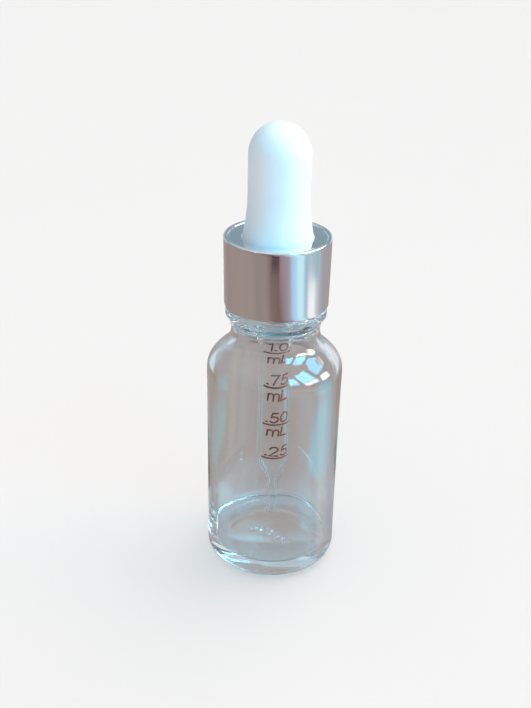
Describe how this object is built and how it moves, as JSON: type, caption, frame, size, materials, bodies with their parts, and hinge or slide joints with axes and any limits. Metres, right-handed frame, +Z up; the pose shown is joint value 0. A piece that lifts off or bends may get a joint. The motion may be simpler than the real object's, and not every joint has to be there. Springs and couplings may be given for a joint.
{
  "type": "glass dropper bottle",
  "caption": "Clear glass bottle closed by a screw-on medicine dropper: bright collar, white rubber squeeze bulb and graduated glass pipette that lifts out.",
  "frame": {"origin": "centre of the bottle's foot, on the surface that it stands on", "axes": "+Z up the common axis of bottle, pipette, cap and bulb; -Y is the side that the pipette's printed scale faces, which is turned 10 degrees from it towards +X"},
  "size_m": [0.0286, 0.0286, 0.0969],
  "materials": {
    "clear_glass": "clear, polished",
    "scale_ink": "fired brown enamel",
    "white_rubber": "satin white",
    "liner_plastic": "natural moulded polypropylene",
    "bright_aluminium": "bright polished and anodised"
  },
  "bodies": {
    "bottle": {"glass_bottle": "clear_glass"},
    "pipette": {"glass_pipette": "clear_glass", "scale_line_100": "scale_ink", "scale_line_075": "scale_ink", "scale_line_050": "scale_ink", "scale_line_025": "scale_ink"},
    "bulb": {"rubber_bulb": "white_rubber"},
    "bulb_front": {"bulb_front_wall": "white_rubber"},
    "bulb_back": {"bulb_back_wall": "white_rubber"},
    "cap": {"screw_cap": "liner_plastic", "collar_shell": "bright_aluminium"}
  },
  "joints": [
    {"name": "lift_out", "type": "slide", "parent": "bottle", "child": "pipette", "axis": [0, 0, 1], "range_m": [0, 0.075]},
    {"name": "cap_rise", "type": "slide", "parent": "pipette", "child": "bulb", "axis": [0, 0, 1], "range_m": [0, 0.00375]},
    {"name": "cap_turn", "type": "hinge", "parent": "bulb", "child": "cap", "pos_m": [0, 0, 0.067], "axis": [0, 0, 1], "range_deg": [0, 450]},
    {"name": "press_front", "type": "slide", "parent": "bulb", "child": "bulb_front", "axis": [0, 1, 0], "range_m": [0, 0.0028], "stiffness_N_per_m": 1000},
    {"name": "press_back", "type": "slide", "parent": "bulb", "child": "bulb_back", "axis": [0, -1, 0], "range_m": [0, 0.0028], "stiffness_N_per_m": 1000}
  ],
  "couplings": [
    {"joint": "cap_rise", "follows": "cap_turn", "m_per_rad": 0.00047746},
    {"joint": "press_back", "follows": "press_front", "ratio": 1}
  ]
}
